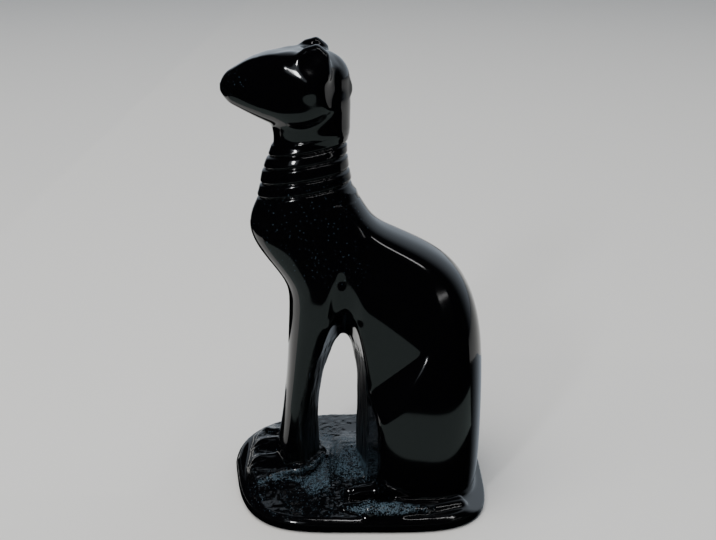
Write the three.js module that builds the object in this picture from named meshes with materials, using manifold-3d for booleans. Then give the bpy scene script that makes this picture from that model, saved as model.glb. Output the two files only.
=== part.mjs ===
// A seated cat with its plinth, cut from one block of black stone.
// Millimetres, +Z up. The cat looks along -X, its tail lies on the -Y side,
// the underside of the plinth is on z = 0. The form is a field of signed distances,
// built from the named forms below, then meshed, thinned out and sawn flat underneath.
import * as THREE from 'three';
import Module from 'manifold-3d';

const wasm = await Module();
wasm.setup();

// Height, front, back, half-width: neck, chest and the two front legs as one mass.
const FORE = [
  [3, -21.5, -8.4, 9.6], [10, -22, -9.6, 9.3], [16, -21, -10.5, 9.1], [25, -19.7, -10.3, 9],
  [35, -18.7, -8, 9.3], [45, -18.1, -3, 10.5], [52, -17.8, 0.2, 11.6], [58, -18.6, 2.6, 11.85],
  [66, -24.1, 3.4, 11.2], [72.5, -27.1, 3.2, 10.8], [77, -26.5, 1.7, 10], [81.5, -24.6, -0.8, 9],
  [86, -23.6, -2.2, 8.1], [91, -21.8, -2.9, 7.1], [93.5, -20.9, -3, 6], [97, -20.9, -2.6, 6.7],
  [101.5, -21, -2, 7.8], [105, -18, -2, 7.8], [108, -14, -2.6, 6],
];
const FORE_POWER = 2.2;

// Height, front, back, half-width: haunches and back.
const HIND = [
  [2, -1.5, 31.3, 21.6], [7, -1.8, 32, 21.9], [14, -2, 32.4, 22], [24, -2.8, 32.5, 21.6],
  [34, -4.6, 32.4, 20.4], [44, -8, 31.8, 17.8], [52, -11, 30.2, 14.9], [58, -13, 27.6, 12.6],
  [63.5, -14, 23.1, 10.6], [67.5, -14, 17.2, 9.2], [71, -13.5, 10, 7.9], [75, -12.5, 2.3, 6.2],
  [80, -12, -2, 4],
];
const HIND_POWER = 2.7;

// Fillet between forms that meet, in millimetres.
const BLEND = {
  body: 6, head: 0.8, frontFeet: 2, ground: 2, cheek: 3, ear: 2, earHollow: 0.8,
  tailBends: 1.5, tail: 1.6, hindFeet: 0.8, raised: 1.2, ridge: 2.6, saddle: 2.2,
};

// Distance along X, underside, top, half-width: the head from the nose back.
const HEAD = [
  [-33.3, 104.8, 110.8, 2.6], [-31, 103.5, 111.6, 3.5], [-28, 101.9, 113.4, 4.3], [-25, 100.4, 115.2, 5.4],
  [-21, 98.6, 116.6, 7.2], [-17, 96.8, 117.2, 8.9], [-13, 96.2, 117.5, 9.7], [-9, 97.6, 117.1, 9.7],
  [-5, 100, 115.9, 9.3], [-1, 102, 113.2, 8.5],
];
// Squareness of the head's sections, rounder towards the nose.
const HEAD_POWER = { nose: 2, back: 2.4, from: -31, to: -23 };
const NOSE = { x: -33.3, round: 2.8, height: 107.2 };
const CROWN = { x: -1.3, round: 8.5, height: 107 };
const BROW = { below: 0.9, arch: 0.012, edge: 0.45, from: -30.5, to: -24 };
const NAPE = { at: [-6.3, 7, 110], normal: [0.79, 0.61, 0.06], edge: 0.7 };
const COLUMN = { from: [-8.7, 0, 98], to: [-8.7, 0, 109.3], radius: 6.8, blend: 0.6 };
const CHEEK = { from: [-15.6, 5, 111.9], to: [-11.7, 6.4, 109.3], radii: [3.6, 4] };
// Ear: outline seen from the side, the plane it lies in and half its thickness.
const EAR = [
  [-14.6, 114.4], [-12, 116.4], [-9.9, 117], [-8.3, 115.7], [-8.3, 111.8], [-11, 110], [-13.4, 112],
];
const EAR_PLANE = { out: 7, height: 117, splay: 0.17, slant: 0.05, radius: 1.4 };
const EAR_HOLLOW = { at: [-11.2, 15.3, 117.2], radii: [7, 7, 7] };

// The collar: levels of its cut lines on a plane that rises to the back.
const COLLAR_LINES = [80.7, 83.9, 87.5, 90.4];
const COLLAR_TOP = 93;
const COLLAR_TILT = 0.17;
const COLLAR_AXIS = -24;
const COLLAR_PROUD = 0.4;
const COLLAR_EDGE = 0.18;
const LINE = { depth: 0.5, width: 0.36 };

// The opening between the front legs and the haunches, with its wide flared edges.
const GAP = {
  axis: -5.5, lean: 0.067, spring: 18, crown: 42.6, flare: 1.02,
  half: 5, frontFlare: 0.42, rearFlare: 0.3, power: 2, sidePower: 1.45, legHalf: 14, edge: 1.6,
};

// The groove above the opening with the dent in it, and the flank set back in front of the thigh.
const GROOVE = { from: [-3.6, 15.4, 52], to: [-3, 13.9, 69.5], radii: [5.4, 2.9], edge: 2 };
const DENT = { at: [-4, 12, 61], radii: [1, 1.7, 2.6], edge: 1 };
const FLANK = {
  at: [5.1, 13, 33.2], out: [-0.32, 1, -0.035], above: [-0.8, 0.6, 0.617], edge: 1.2, blend: 2.2,
  front: -5, frontEdge: 4,
};

// Feet: each a low rounded form, with shallow lines between the toes.
const FRONT_FOOT = { from: [-18.5, 4.7, 5.6], to: [-25.4, 4.5, 5.2], radii: [3.9, 3.6] };
const FRONT_TOES = [[[-25.2, 3.2, 9.5], [-29.4, 2.9, 6.4]], [[-25, 6, 9.4], [-29, 6.3, 6.2]]];
const HIND_FOOT = { from: [9.5, 17.3, 6.2], to: [-2, 17.6, 5], radii: [2.7, 1.8] };
const FAR_FOOT_BACK = 6;
const HIND_TOES = [[[-1.2, 17, 7.7], [-4.4, 17, 6]], [[-1.4, 18.9, 7.3], [-4.2, 19.1, 5.7]]];
const TOE_LINE = { radius: 0.9, edge: 1 };

// Centre line of the tail and its radii.
const TAIL = [[26, -20.6, 3.9], [17, -23.4, 3.9], [9.5, -24.2, 4.3], [3, -24.4, 4.5], [-3.4, -22.9, 4.3]];
const TAIL_RADII = [1.7, 1.8, 2.1, 2.2, 1];

// The plinth: reach each way, squareness of the corners, thickness and bevels.
const REACH = { front: 33.9, rear: 34, near: 28.3, far: 27 };
const PLINTH_CENTRE_Y = 2;
const SQUARENESS = { nearFront: 3.9, nearRear: 4.2, farFront: 2.5, farRear: 3 };
const NEAR_TAPER = 0.005;
const PLINTH = {
  thick: 4.5, rise: 0.02, topBevel: 1.3, bottomBevel: 0.8, rearHeight: 5, rearDrop: 0.42,
  rearFrom: 25, edge: 0.5,
};

// The raised ground under the front feet, its ridge, and the low saddle from there to the haunches.
const RAISED = {
  top: 6.8, corner: [-26.6, 15], normal: [0.645, 0.763], rear: -7.4, rearLean: 0.2,
  front: -30.5, frontLean: 0.9, inset: 1.8, edge: 1, steep: 0.34, gentle: 0.15,
};
const RIDGE = [
  [-27, 14, 6], [-22.8, 11.3, 6.8], [-19.5, 10.2, 7.1], [-15.5, 9.7, 7.3], [-12.3, 7.6, 7.3], [-9.8, 1.2, 7],
];
const RIDGE_RADIUS = 0.9;
const SADDLE = { from: -3, to: 12, height: 3.5, radius: 4, spread: 0.36, y: 2 };

// Meshing: lattice steps, the finer levels at the collar, and the number of triangles kept.
const STEP_XY = 0.9;
const STEP_Z = 0.9;
const STEP_COLLAR = 0.4;
const TRIANGLES = 9600;
const CLOSED_BELOW = -1.2;

// Smooth minimum: two forms joined with a fillet of about k.
function join(a, b, k) {
  const h = Math.max(1 - Math.abs(a - b) / k, 0);
  return Math.min(a, b) - h * h * h * k / 6;
}

function cut(a, b, k) {
  return -join(-a, b, k);
}

function both(a, b, k) {
  return -join(-a, -b, k);
}

// Natural cubic curve through one column of a table of stations.
function curve(rows, column) {
  const at = rows.map((row) => row[0]);
  const value = rows.map((row) => row[column]);
  const count = at.length;
  const bend = new Array(count).fill(0);
  const carry = new Array(count).fill(0);
  for (let i = 1; i < count - 1; i++) {
    const before = at[i] - at[i - 1];
    const after = at[i + 1] - at[i];
    const pivot = 2 * (before + after) - before * carry[i - 1];
    const turn = 6 * ((value[i + 1] - value[i]) / after - (value[i] - value[i - 1]) / before);
    carry[i] = after / pivot;
    bend[i] = (turn - before * bend[i - 1]) / pivot;
  }
  for (let i = count - 2; i > 0; i--) bend[i] -= carry[i] * bend[i + 1];
  return (place) => {
    const t = Math.min(Math.max(place, at[0]), at[count - 1]);
    let i = 0;
    while (i < count - 2 && t > at[i + 1]) i++;
    const step = at[i + 1] - at[i];
    const s = (t - at[i]) / step;
    const r = 1 - s;
    const curved = (r * r * r - r) * bend[i] + (s * s * s - s) * bend[i + 1];
    return r * value[i] + s * value[i + 1] + step * step / 6 * curved;
  };
}

// Distance to a rounded rectangle-like ring of half-sizes a and b.
function ring(u, v, a, b, power) {
  const size = Math.max(((u / a) ** power + (v / b) ** power) ** (1 / power), 1e-6);
  const out = Math.hypot(u, v);
  return out < 1e-6 ? -Math.min(a, b) : out * (1 - 1 / size);
}

// A mass lofted up Z through stations of front, back and half-width.
function loft(rows, power) {
  const front = curve(rows, 1);
  const back = curve(rows, 2);
  const half = curve(rows, 3);
  const low = rows[0][0];
  const high = rows[rows.length - 1][0];
  const e = 0.25;
  return (x, y, z) => {
    const f = front(z);
    const b = back(z);
    const u = Math.abs(x - (f + b) / 2);
    const v = Math.abs(y);
    const d = ring(u, v, (b - f) / 2, half(z), power);
    const lean = x > (f + b) / 2 ? back(z + e) - back(z - e) : front(z - e) - front(z + e);
    const widen = half(z + e) - half(z - e);
    const share = u * u / Math.max(u * u + v * v, 1e-9);
    const slope = (lean * share + widen * (1 - share)) / (2 * e);
    return Math.max(d / Math.hypot(1, slope), low - z, z - high);
  };
}

function limb(p, q, r1, r2) {
  const ax = q[0] - p[0];
  const ay = q[1] - p[1];
  const az = q[2] - p[2];
  const long = ax * ax + ay * ay + az * az;
  return (x, y, z) => {
    const dx = x - p[0];
    const dy = y - p[1];
    const dz = z - p[2];
    const t = Math.min(Math.max((dx * ax + dy * ay + dz * az) / long, 0), 1);
    return Math.hypot(dx - t * ax, dy - t * ay, dz - t * az) - (r1 + (r2 - r1) * t);
  };
}

function egg(at, radii) {
  return (x, y, z) => {
    const u = (x - at[0]) / radii[0];
    const v = (y - at[1]) / radii[1];
    const w = (z - at[2]) / radii[2];
    const size = Math.hypot(u, v, w);
    const steep = Math.hypot(u / radii[0], v / radii[1], w / radii[2]);
    return size * (size - 1) / Math.max(steep, 1e-9);
  };
}

// Distance in a plane to a polygon whose corners run one way round.
function polygon(u, v, corners) {
  let near = Infinity;
  let inside = true;
  corners.forEach(([u0, v0], i) => {
    const [u1, v1] = corners[(i + 1) % corners.length];
    const [du, dv] = [u1 - u0, v1 - v0];
    const t = Math.min(Math.max(((u - u0) * du + (v - v0) * dv) / (du * du + dv * dv), 0), 1);
    near = Math.min(near, Math.hypot(u - u0 - t * du, v - v0 - t * dv));
    if ((u - u0) * dv - (v - v0) * du < 0) inside = false;
  });
  return inside ? -near : near;
}

// Distance in front of a plane.
function sideOf(at, normal) {
  const size = Math.hypot(...normal);
  return (x, y, z) => ((x - at[0]) * normal[0] + (y - at[1]) * normal[1] + (z - at[2]) * normal[2]) / size;
}

// Several forms joined one after another.
function joined(parts, k) {
  return (x, y, z) => parts.reduce((form, part) => join(form, part(x, y, z), k), Infinity);
}

const forePart = loft(FORE, FORE_POWER);
const hindPart = loft(HIND, HIND_POWER);

function gap(x, y, z) {
  const v = Math.abs(y);
  const top = GAP.crown + GAP.flare * v;
  const rise = Math.max(z - GAP.spring, 0);
  const dx = x - GAP.axis - GAP.lean * rise;
  const half = GAP.half + (dx < 0 ? GAP.frontFlare : GAP.rearFlare) * v;
  const power = GAP.power + (GAP.sidePower - GAP.power) * Math.min(v / GAP.legHalf, 1);
  const size = ((Math.abs(dx) / half) ** power + (rise / (top - GAP.spring)) ** power) ** (1 / power);
  return (size - 1) * (GAP.half + GAP.rearFlare * v);
}

function collarLevel(x, z) {
  return z - COLLAR_TILT * (x - COLLAR_AXIS);
}

function collar(x, z) {
  const level = collarLevel(x, z);
  const rising = 0.5 + 0.5 * Math.tanh((level - COLLAR_LINES[0]) / COLLAR_EDGE);
  const ending = 0.5 + 0.5 * Math.tanh((COLLAR_TOP - level) / COLLAR_EDGE);
  let relief = COLLAR_PROUD * rising * ending;
  for (const line of COLLAR_LINES) relief -= LINE.depth * Math.exp(-(((level - line) / LINE.width) ** 2));
  return relief;
}

const groove = limb(GROOVE.from, GROOVE.to, ...GROOVE.radii);
const dent = egg(DENT.at, DENT.radii);
const flankOut = sideOf(FLANK.at, FLANK.out);
const flankAbove = sideOf(FLANK.at, FLANK.above);

function body(x, y, z) {
  const v = Math.abs(y);
  const facet = both(-flankOut(x, v, z), -flankAbove(x, v, z), FLANK.edge);
  const setBack = both(facet, FLANK.front - x, FLANK.frontEdge);
  let mass = join(forePart(x, y, z), hindPart(x, y, z), BLEND.body);
  mass = cut(mass, setBack, FLANK.blend);
  mass = cut(mass, groove(x, v, z), GROOVE.edge);
  mass = cut(mass, dent(x, v, z), DENT.edge);
  return cut(mass - collar(x, z), gap(x, y, z), GAP.edge);
}

const headUnder = curve(HEAD, 1);
const headTop = curve(HEAD, 2);
const headHalf = curve(HEAD, 3);

// Share of full size at a rounded end, t running from 0 at the end to 1.
function roundEnd(t) {
  const s = 1 - Math.min(Math.max(t, 0), 1);
  return Math.sqrt(Math.max(1 - s * s, 1e-4));
}

// Share of the way from one place to another, kept between 0 and 1.
function shareAlong(x, { from, to }) {
  return Math.min(Math.max((x - from) / (to - from), 0), 1);
}

function skull(x, y, z) {
  const nose = roundEnd((x - NOSE.x) / NOSE.round);
  const crown = roundEnd((CROWN.x - x) / CROWN.round);
  const under = headUnder(x);
  const top = headTop(x);
  let middle = (under + top) / 2;
  middle += (NOSE.height - middle) * (1 - nose);
  middle += (CROWN.height - middle) * (1 - crown);
  const size = nose * crown;
  const back = shareAlong(x, HEAD_POWER);
  const power = HEAD_POWER.nose + (HEAD_POWER.back - HEAD_POWER.nose) * back;
  const d = ring(Math.abs(z - middle), Math.abs(y), (top - under) / 2 * size, headHalf(x) * size, power);
  return Math.max(d, NOSE.x - x, x - CROWN.x);
}

const nape = sideOf(NAPE.at, NAPE.normal);
const column = limb(COLUMN.from, COLUMN.to, COLUMN.radius, COLUMN.radius);
const cheek = limb(CHEEK.from, CHEEK.to, ...CHEEK.radii);
const earHollow = egg(EAR_HOLLOW.at, EAR_HOLLOW.radii);

// A rounded leaf standing on the side of the head.
function ear(x, y, z) {
  const u = x + EAR_PLANE.slant * y;
  const v = Math.abs(y) - EAR_PLANE.out - EAR_PLANE.splay * (EAR_PLANE.height - z);
  return Math.hypot(Math.max(polygon(u, z, EAR), 0), v) - EAR_PLANE.radius;
}

function head(x, y, z) {
  const v = Math.abs(y);
  const brow = z - headTop(x) + BROW.below * shareAlong(x, BROW) + BROW.arch * v * v;
  let form = both(skull(x, y, z), brow, BROW.edge);
  form = both(form, nape(x, v, z), NAPE.edge);
  form = join(form, column(x, y, z), COLUMN.blend);
  form = join(form, cheek(x, v, z), BLEND.cheek);
  form = join(form, ear(x, y, z), BLEND.ear);
  return cut(form, earHollow(x, v, z), BLEND.earHollow);
}

// One foot with its toe lines.
function foot(shape, toes) {
  const mass = limb(shape.from, shape.to, ...shape.radii);
  const lines = toes.map(([root, tip]) => limb(root, tip, TOE_LINE.radius, TOE_LINE.radius));
  return (x, y, z) => lines.reduce((form, line) => cut(form, line(x, y, z), TOE_LINE.edge), mass(x, y, z));
}

const frontFoot = foot(FRONT_FOOT, FRONT_TOES);
const hindFoot = foot(HIND_FOOT, HIND_TOES);
const tailParts = TAIL.slice(1).map((end, i) => limb(TAIL[i], end, TAIL_RADII[i], TAIL_RADII[i + 1]));
const tail = joined(tailParts, BLEND.tailBends);

// Distance from the outline of the plinth in plan.
function outline(x, y) {
  const v = y - PLINTH_CENTRE_Y;
  const near = v < 0;
  const front = x < 0;
  const taper = front && near ? NEAR_TAPER * v : 0;
  const a = front ? REACH.front * (1 + taper) : REACH.rear;
  const b = near ? REACH.near + PLINTH_CENTRE_Y : REACH.far - PLINTH_CENTRE_Y;
  const nearPower = front ? SQUARENESS.nearFront : SQUARENESS.nearRear;
  const farPower = front ? SQUARENESS.farFront : SQUARENESS.farRear;
  return ring(Math.abs(x), Math.abs(v), a, b, near ? nearPower : farPower);
}

function plinth(x, y, z) {
  const side = outline(x, y);
  const top = z - PLINTH.thick - PLINTH.rise * y;
  const drop = PLINTH.rearDrop * (x - PLINTH.rearFrom);
  const rear = (z - PLINTH.rearHeight + drop) / Math.hypot(1, PLINTH.rearDrop);
  let form = both(side, both(top, rear, PLINTH.edge), PLINTH.edge);
  form = both(form, (side + top + PLINTH.topBevel) * Math.SQRT1_2, PLINTH.edge);
  return both(form, (side - z + PLINTH.bottomBevel) * Math.SQRT1_2, PLINTH.edge);
}

const ridgeParts = RIDGE.slice(1).map((end, i) => limb(RIDGE[i], end, RIDGE_RADIUS, RIDGE_RADIUS));
const ridge = joined(ridgeParts, BLEND.ridge);

function raised(x, y, z) {
  const v = Math.abs(y);
  const above = z - PLINTH.thick;
  const away = (x - RAISED.corner[0]) * RAISED.normal[0] + (v - RAISED.corner[1]) * RAISED.normal[1];
  const back = shareAlong(x, { from: RAISED.corner[0], to: RAISED.rear });
  const fall = RAISED.steep + (RAISED.gentle - RAISED.steep) * back;
  const slope = (z - RAISED.top + fall * away) / Math.hypot(1, fall);
  const rear = (x - RAISED.rear + above * RAISED.rearLean) / Math.hypot(1, RAISED.rearLean);
  const front = (RAISED.front - x + above * RAISED.frontLean) / Math.hypot(1, RAISED.frontLean);
  let form = both(z - RAISED.top, slope, RAISED.edge);
  form = join(form, ridge(x, v, z), BLEND.ridge);
  form = both(form, both(rear, front, RAISED.edge), RAISED.edge);
  return both(form, outline(x, y) + RAISED.inset + Math.max(above, 0), RAISED.edge);
}

// Half of a round bar, spread sideways, that ties the raised ground to the haunches.
const saddleEnds = [SADDLE.from, SADDLE.to].map((x) => [x, 0, SADDLE.height]);
const saddleBar = limb(...saddleEnds, SADDLE.radius, SADDLE.radius);

function ground(x, y, z) {
  const v = Math.abs(y);
  let form = join(plinth(x, y, z), raised(x, y, z), BLEND.raised);
  form = join(form, saddleBar(x, SADDLE.spread * (y - SADDLE.y), z), BLEND.saddle);
  form = join(form, hindFoot(y > 0 ? x - FAR_FOOT_BACK : x, v, z), BLEND.hindFeet);
  return join(form, tail(x, y, z), BLEND.tail);
}

function statue(x, y, z) {
  let form = join(body(x, y, z), head(x, y, z), BLEND.head);
  form = join(form, frontFoot(x, Math.abs(y), z), BLEND.frontFeet);
  form = join(form, ground(x, y, z), BLEND.ground);
  return Math.max(form, CLOSED_BELOW - z);
}

// Lattice levels: fine through the collar, tilted with it.
function levels() {
  const list = [];
  const fineFrom = COLLAR_LINES[0] - 1.6;
  const fineTo = COLLAR_TOP + 1.2;
  for (let z = -2.25; z < 122; z += z > fineFrom && z < fineTo ? STEP_COLLAR : STEP_Z) list.push(z);
  return list;
}

function tiltAt(level) {
  const t = Math.min(Math.max((level - 56) / 20, 0), 1);
  return COLLAR_TILT * t * t * (3 - 2 * t);
}

function spread(reach) {
  const count = Math.ceil(reach / STEP_XY);
  return Array.from({ length: 2 * count + 2 }, (_, i) => (i - count - 0.5) * STEP_XY);
}

// One vertex per lattice cell the surface passes through, one quad per crossed edge.
function meshField(field) {
  const xs = spread(36);
  const ys = spread(31);
  const zs = levels();
  const size = [xs.length, ys.length, zs.length];
  const index = (i, j, k) => (i * size[1] + j) * size[2] + k;
  const value = new Float64Array(size[0] * size[1] * size[2]);
  const height = (i, k) => zs[k] + tiltAt(zs[k]) * (xs[i] - COLLAR_AXIS);
  for (let i = 0; i < size[0]; i++) {
    for (let j = 0; j < size[1]; j++) {
      for (let k = 0; k < size[2]; k++) value[index(i, j, k)] = field(xs[i], ys[j], height(i, k));
    }
  }
  const stride = [size[1] * size[2], size[2], 1];
  const place = (n) => {
    const i = Math.floor(n / stride[0]);
    const j = Math.floor(n / stride[1]) % size[1];
    const k = n % size[2];
    return new THREE.Vector3(xs[i], ys[j], height(i, k));
  };
  const vertexOf = new Map();
  const points = [];
  const vertex = (cell) => {
    if (vertexOf.has(cell)) return vertexOf.get(cell);
    const sum = new THREE.Vector3();
    let crossed = 0;
    for (let axis = 0; axis < 3; axis++) {
      const [u, v] = [stride[(axis + 1) % 3], stride[(axis + 2) % 3]];
      for (const start of [cell, cell + u, cell + v, cell + u + v]) {
        const end = start + stride[axis];
        if (value[start] < 0 === value[end] < 0) continue;
        const t = value[start] / (value[start] - value[end]);
        sum.add(place(start).lerp(place(end), t));
        crossed++;
      }
    }
    vertexOf.set(cell, points.length);
    points.push(sum.divideScalar(crossed));
    return points.length - 1;
  };
  const faces = [];
  for (let i = 1; i < size[0] - 1; i++) {
    for (let j = 1; j < size[1] - 1; j++) {
      for (let k = 1; k < size[2] - 1; k++) {
        const here = index(i, j, k);
        for (let axis = 0; axis < 3; axis++) {
          const inside = value[here] < 0;
          if (inside === value[here + stride[axis]] < 0) continue;
          const u = stride[(axis + 1) % 3];
          const v = stride[(axis + 2) % 3];
          const quad = [here - u - v, here - v, here, here - u].map(vertex);
          if (!inside) quad.reverse();
          faces.push([quad[0], quad[1], quad[2]], [quad[0], quad[2], quad[3]]);
        }
      }
    }
  }
  return { points, faces };
}

// Moves each vertex along the slope of the field until it lies on the surface.
function settle(field, points) {
  const e = 1e-3;
  for (const p of points) {
    for (let round = 0; round < 3; round++) {
      const d = Math.min(Math.max(field(p.x, p.y, p.z), -0.5), 0.5);
      const slope = new THREE.Vector3(
        field(p.x + e, p.y, p.z) - field(p.x - e, p.y, p.z),
        field(p.x, p.y + e, p.z) - field(p.x, p.y - e, p.z),
        field(p.x, p.y, p.z + e) - field(p.x, p.y, p.z - e),
      ).divideScalar(2 * e);
      p.addScaledVector(slope, -d / Math.max(slope.lengthSq(), 0.04));
    }
  }
}

// A binary heap of edge collapses, cheapest first.
class Heap {
  constructor() {
    this.items = [];
  }

  push(item) {
    const { items } = this;
    let i = items.push(item) - 1;
    while (i > 0) {
      const up = (i - 1) >> 1;
      if (items[up].cost <= items[i].cost) break;
      [items[up], items[i]] = [items[i], items[up]];
      i = up;
    }
  }

  pop() {
    const { items } = this;
    const first = items[0];
    const last = items.pop();
    if (items.length > 0) {
      items[0] = last;
      let i = 0;
      for (;;) {
        let least = i;
        for (const child of [2 * i + 1, 2 * i + 2]) {
          if (child < items.length && items[child].cost < items[least].cost) least = child;
        }
        if (least === i) break;
        [items[least], items[i]] = [items[i], items[least]];
        i = least;
      }
    }
    return first;
  }
}

// Sum of squared distances to the planes of the faces around a vertex, as ten numbers.
function planeError(a, b, c) {
  const normal = b.clone().sub(a).cross(c.clone().sub(a));
  const area = normal.length() / 2;
  if (area === 0) return new Float64Array(10);
  normal.normalize();
  const w = -normal.dot(a);
  const { x, y, z } = normal;
  return Float64Array.from(
    [x * x, x * y, x * z, x * w, y * y, y * z, y * w, z * z, z * w, w * w],
    (term) => term * area,
  );
}

function errorAt(q, p) {
  return q[0] * p.x * p.x + q[4] * p.y * p.y + q[7] * p.z * p.z + q[9]
    + 2 * (q[1] * p.x * p.y + q[2] * p.x * p.z + q[5] * p.y * p.z + q[3] * p.x + q[6] * p.y + q[8] * p.z);
}

// Lowest point of the summed error, or the better of the ends and the middle.
function bestPlace(q, a, b) {
  const m = new THREE.Matrix3().set(q[0], q[1], q[2], q[1], q[4], q[5], q[2], q[5], q[7]);
  const middle = a.clone().lerp(b, 0.5);
  const scale = (q[0] + q[4] + q[7]) / 3;
  if (Math.abs(m.determinant()) > 1e-3 * scale ** 3) {
    const best = new THREE.Vector3(-q[3], -q[6], -q[8]).applyMatrix3(m.invert());
    if (best.distanceTo(middle) < 1.5 * a.distanceTo(b)) return best;
  }
  return [middle, a, b].reduce((least, p) => (errorAt(q, p) < errorAt(q, least) ? p : least)).clone();
}

// Collapses the edges that change the form least until the wanted number of faces is left.
function thin(points, faces, wanted) {
  const around = points.map(() => new Set());
  const error = points.map(() => new Float64Array(10));
  const version = new Int32Array(points.length);
  faces.forEach((face, n) => {
    const q = planeError(...face.map((v) => points[v]));
    for (const v of face) {
      around[v].add(n);
      for (let i = 0; i < 10; i++) error[v][i] += q[i];
    }
  });
  const heap = new Heap();
  const offer = (a, b) => {
    const q = error[a].map((term, i) => term + error[b][i]);
    const place = bestPlace(q, points[a], points[b]);
    const cost = errorAt(q, place) + 1e-5 * points[a].distanceToSquared(points[b]);
    heap.push({ a, b, place, cost, atA: version[a], atB: version[b] });
  };
  const neighbours = (v) => new Set([...around[v]].flatMap((n) => faces[n]).filter((w) => w !== v));
  const flips = (v, other, place) => [...around[v]].some((n) => {
    const face = faces[n];
    if (face.includes(other)) return false;
    const before = face.map((w) => points[w]);
    const after = face.map((w) => (w === v ? place : points[w]));
    const normals = [before, after].map(([a, b, c]) => b.clone().sub(a).cross(c.clone().sub(a)).normalize());
    return normals[0].dot(normals[1]) < 0.35;
  });
  points.forEach((_, v) => {
    for (const w of neighbours(v)) if (w > v) offer(v, w);
  });
  let left = faces.length;
  while (left > wanted && heap.items.length > 0) {
    const { a, b, place, atA, atB } = heap.pop();
    if (version[a] !== atA || version[b] !== atB) continue;
    const nearB = neighbours(b);
    if (!nearB.has(a) || [...neighbours(a)].filter((v) => nearB.has(v)).length !== 2) continue;
    if (flips(a, b, place) || flips(b, a, place)) continue;
    for (const n of [...around[b]]) {
      if (faces[n].includes(a)) {
        for (const v of faces[n]) around[v].delete(n);
        left--;
      } else {
        faces[n][faces[n].indexOf(b)] = a;
        around[a].add(n);
      }
    }
    around[b].clear();
    points[a].copy(place);
    for (let i = 0; i < 10; i++) error[a][i] += error[b][i];
    version[a]++;
    version[b]++;
    for (const v of neighbours(a)) offer(a, v);
  }
  return faces.filter((face, n) => around[face[0]].has(n));
}

function toManifold(points, faces) {
  const used = [...new Set(faces.flat())];
  const renumbered = new Map(used.map((v, i) => [v, i]));
  return new wasm.Manifold(new wasm.Mesh({
    numProp: 3,
    vertProperties: Float32Array.from(used.flatMap((v) => points[v].toArray())),
    triVerts: Uint32Array.from(faces.flat(), (v) => renumbered.get(v)),
  }));
}

// A block standing on z = 0, wide enough to hold the whole statue.
function block() {
  const box = new THREE.BoxGeometry(100, 100, 150);
  box.translate(0, 0, 75);
  const position = box.getAttribute('position');
  const corners = [];
  const faces = [];
  const number = [];
  for (let i = 0; i < position.count; i++) {
    const p = new THREE.Vector3().fromBufferAttribute(position, i);
    let found = corners.findIndex((q) => q.distanceTo(p) < 1e-6);
    if (found < 0) found = corners.push(p) - 1;
    number.push(found);
  }
  for (let i = 0; i < box.index.count; i += 3) {
    faces.push([0, 1, 2].map((j) => number[box.index.getX(i + j)]));
  }
  return toManifold(corners, faces);
}

function toGeometry(solid) {
  const mesh = solid.getMesh();
  const geometry = new THREE.BufferGeometry();
  geometry.setAttribute('position', new THREE.BufferAttribute(Float32Array.from(mesh.vertProperties), 3));
  geometry.setIndex([...mesh.triVerts]);
  geometry.computeVertexNormals();
  return geometry;
}

function carve() {
  const { points, faces } = meshField(statue);
  settle(statue, points);
  const kept = thin(points, faces, TRIANGLES);
  return toGeometry(toManifold(points, kept).intersect(block()));
}

const obsidian = new THREE.MeshStandardMaterial({ color: 0x0b0c0e, roughness: 0.12, metalness: 0 });
const group = new THREE.Group();
const cat = new THREE.Mesh(carve(), obsidian);
cat.name = 'cat_statue';
group.add(cat);

export default group;
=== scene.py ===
"""A seated cat on its plinth, carved from one block of black obsidian.

The carving is a field of signed distances in millimetres, the same named forms as the solid,
with the finer cuts and tool marks added, and pale dots in its colour for pits and dust, partly painted
glints.
It is meshed once, finely, and stands for the solid.
"""

import math

import bpy
import numpy as np
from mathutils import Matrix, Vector


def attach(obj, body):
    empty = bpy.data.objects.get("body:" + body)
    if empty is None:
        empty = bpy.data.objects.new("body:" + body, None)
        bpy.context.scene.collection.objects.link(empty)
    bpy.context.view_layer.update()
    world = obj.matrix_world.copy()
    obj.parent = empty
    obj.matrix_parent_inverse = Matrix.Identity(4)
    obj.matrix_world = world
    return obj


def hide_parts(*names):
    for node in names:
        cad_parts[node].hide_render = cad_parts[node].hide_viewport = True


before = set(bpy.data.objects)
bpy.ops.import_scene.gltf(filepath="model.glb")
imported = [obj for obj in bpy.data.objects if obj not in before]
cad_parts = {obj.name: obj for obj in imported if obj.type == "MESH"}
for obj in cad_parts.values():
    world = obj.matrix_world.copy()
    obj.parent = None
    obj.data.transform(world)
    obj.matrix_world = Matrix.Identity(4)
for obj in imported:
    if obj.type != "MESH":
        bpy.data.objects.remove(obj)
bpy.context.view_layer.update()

# Height, front, back, half-width: neck, chest and the two front legs as one mass.
FORE = [
    (3, -21.5, -8.4, 9.6), (10, -22, -9.6, 9.3), (16, -21, -10.5, 9.1), (25, -19.7, -10.3, 9),
    (35, -18.7, -8, 9.3), (45, -18.1, -3, 10.5), (52, -17.8, 0.2, 11.6), (58, -18.6, 2.6, 11.85),
    (66, -24.1, 3.4, 11.2), (72.5, -27.1, 3.2, 10.8), (77, -26.5, 1.7, 10), (81.5, -24.6, -0.8, 9),
    (86, -23.6, -2.2, 8.1), (91, -21.8, -2.9, 7.1), (93.5, -20.9, -3, 6), (97, -20.9, -2.6, 6.7),
    (101.5, -21, -2, 7.8), (105, -18, -2, 7.8), (108, -14, -2.6, 6),
]
FORE_POWER = 2.2

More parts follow.
